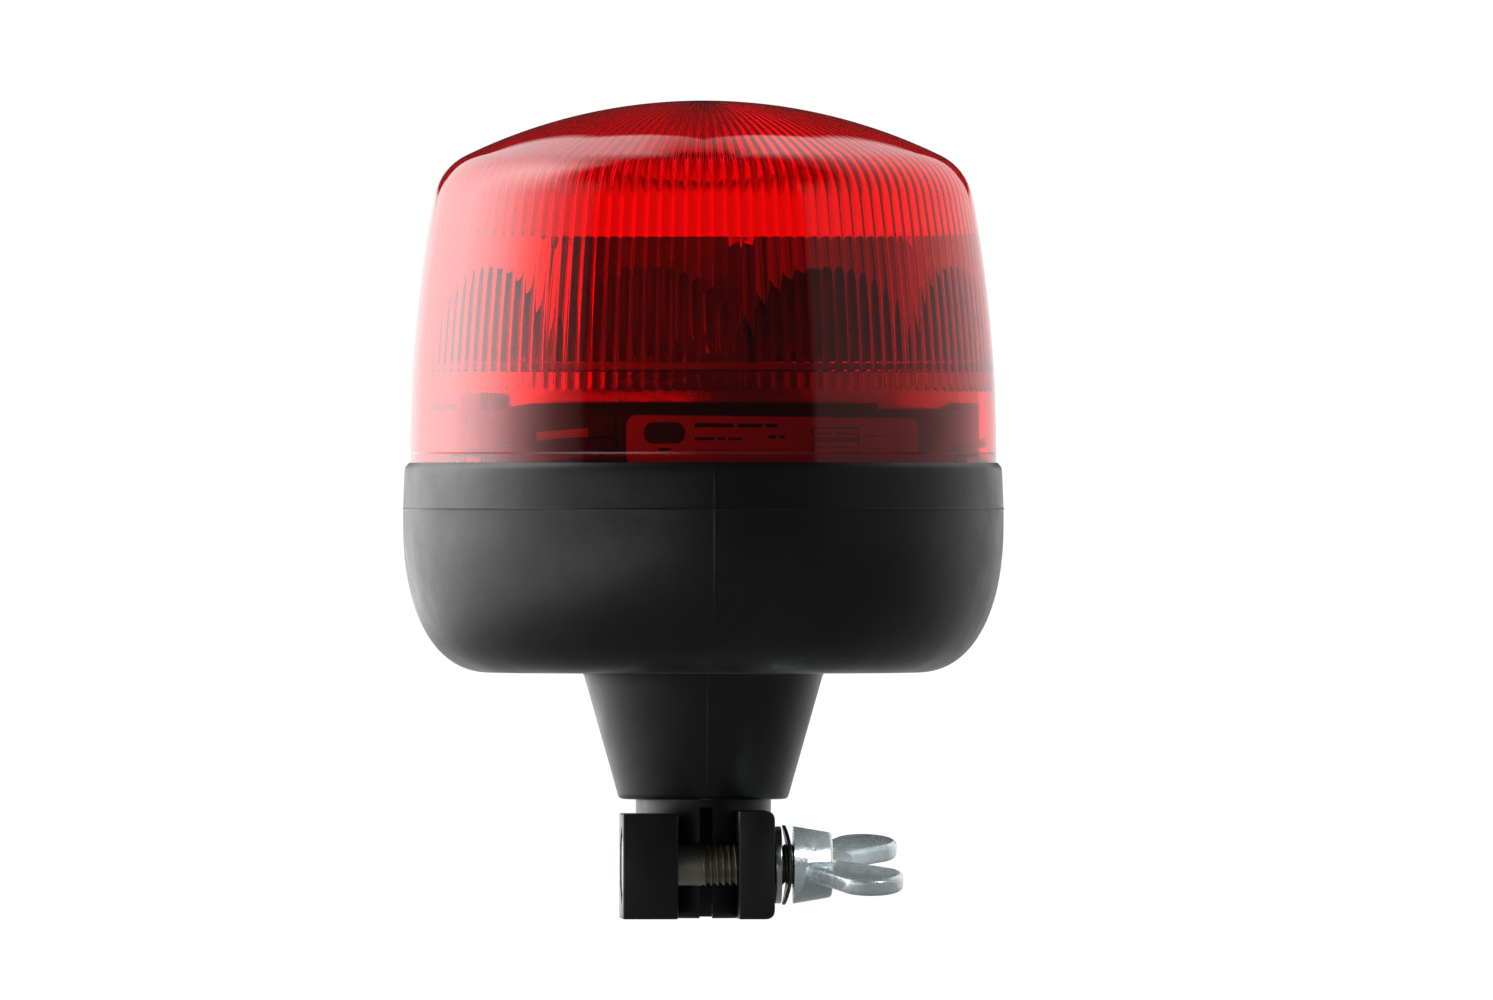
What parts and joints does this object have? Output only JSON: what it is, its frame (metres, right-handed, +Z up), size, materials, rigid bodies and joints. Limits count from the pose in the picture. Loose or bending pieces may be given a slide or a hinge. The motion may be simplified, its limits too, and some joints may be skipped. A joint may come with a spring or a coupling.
{
  "type": "warning beacon",
  "caption": "Red fluted warning beacon on a flexible rubber boot, with a split sleeve and wing nut that clamp it on a stub pole.",
  "frame": {"origin": "centre of the pole sleeve's mouth, in the plane of its bottom edge", "axes": "+Z up the pole towards the lens, -Y towards the split and the clamp bolt, +X towards the wing nut"},
  "size_m": [0.1422, 0.1422, 0.1932],
  "materials": {
    "sleeve_black": "satin moulded",
    "zinc_steel": "bright zinc plate",
    "dark_steel": "oiled spring steel",
    "insulator": "moulded",
    "brass": "turned",
    "boot_rubber": "matt with a grey bloom",
    "housing_black": "satin moulded",
    "label": null,
    "seal_rubber": "soft",
    "circuit_board": "white solder mask",
    "component_black": "moulded",
    "aluminium": "plain",
    "wire_black": "wire insulation",
    "wire_red": "wire insulation",
    "led_package": "phosphor under clear resin",
    "metallised_plastic": "vacuum metallised",
    "lens_red": "clear red, polished"
  },
  "bodies": {
    "sleeve": {"pole_sleeve": "sleeve_black", "clamp_bolt": "zinc_steel", "contact_insulator": "insulator", "contact_spring": "zinc_steel", "contact_terminal": "brass", "earth_ring": "brass", "rubber_stem": "boot_rubber", "feed_wire": "wire_red", "earth_wire": "wire_black"},
    "washers": {"flat_washer": "zinc_steel", "spring_washer": "dark_steel"},
    "nut": {"wing_nut": "zinc_steel"},
    "contact": {"centre_contact": "brass"},
    "head": {"rubber_bowl": "boot_rubber", "insert_plate": "zinc_steel", "boot_screw_1": "zinc_steel", "boot_screw_2": "zinc_steel", "boot_screw_3": "zinc_steel", "housing_cup": "housing_black", "housing_collar": "housing_black", "rating_label": "label", "collar_screw_1": "zinc_steel", "collar_screw_2": "zinc_steel", "collar_screw_3": "zinc_steel", "cable_grommet": "seal_rubber", "driver_board": "circuit_board", "board_screw_1": "zinc_steel", "board_screw_2": "zinc_steel", "board_screw_3": "zinc_steel", "choke_coil": "component_black", "capacitor_1": "aluminium", "capacitor_2": "aluminium", "controller_chip": "component_black", "power_connector": "insulator", "led_cable": "wire_black", "heat_sink": "aluminium", "sink_screw_1": "zinc_steel", "sink_screw_2": "zinc_steel", "sink_screw_3": "zinc_steel", "sink_screw_4": "zinc_steel", "led_board": "circuit_board", "led_1": "led_package", "led_2": "led_package", "led_3": "led_package", "led_4": "led_package", "led_5": "led_package", "led_6": "led_package", "led_7": "led_package", "led_8": "led_package", "reflector": "metallised_plastic", "reflector_screw_1": "zinc_steel", "reflector_screw_2": "zinc_steel", "reflector_screw_3": "zinc_steel", "lens_seal": "seal_rubber"},
    "lens": {"lens_dome": "lens_red"}
  },
  "joints": [
    {"name": "washer_slide", "type": "slide", "parent": "sleeve", "child": "washers", "axis": [1, 0, 0], "range_m": [0, 0.0046]},
    {"name": "wing_nut_turn", "type": "hinge", "parent": "washers", "child": "nut", "pos_m": [0.025, -0.0224, 0.0127], "axis": [1, 0, 0], "range_deg": [0, 1080]},
    {"name": "contact_press", "type": "slide", "parent": "sleeve", "child": "contact", "axis": [0, 0, 1], "range_m": [0, 0.0015], "stiffness_N_per_m": 800, "springref_m": -0.002, "deforming": ["contact_spring"]},
    {"name": "head_flex", "type": "hinge", "parent": "sleeve", "child": "head", "pos_m": [0, 0, 0.045], "axis": [0, 1, 0], "range_deg": [-15, 15], "stiffness_Nm_per_rad": 12, "deforming": ["rubber_stem", "feed_wire", "earth_wire"]},
    {"name": "lens_turn", "type": "hinge", "parent": "head", "child": "lens", "pos_m": [0, 0, 0.11], "axis": [0, 0, 1], "range_deg": [0, 40]}
  ],
  "couplings": [
    {"joint": "washer_slide", "follows": "wing_nut_turn", "m_per_rad": 0.00023873}
  ]
}
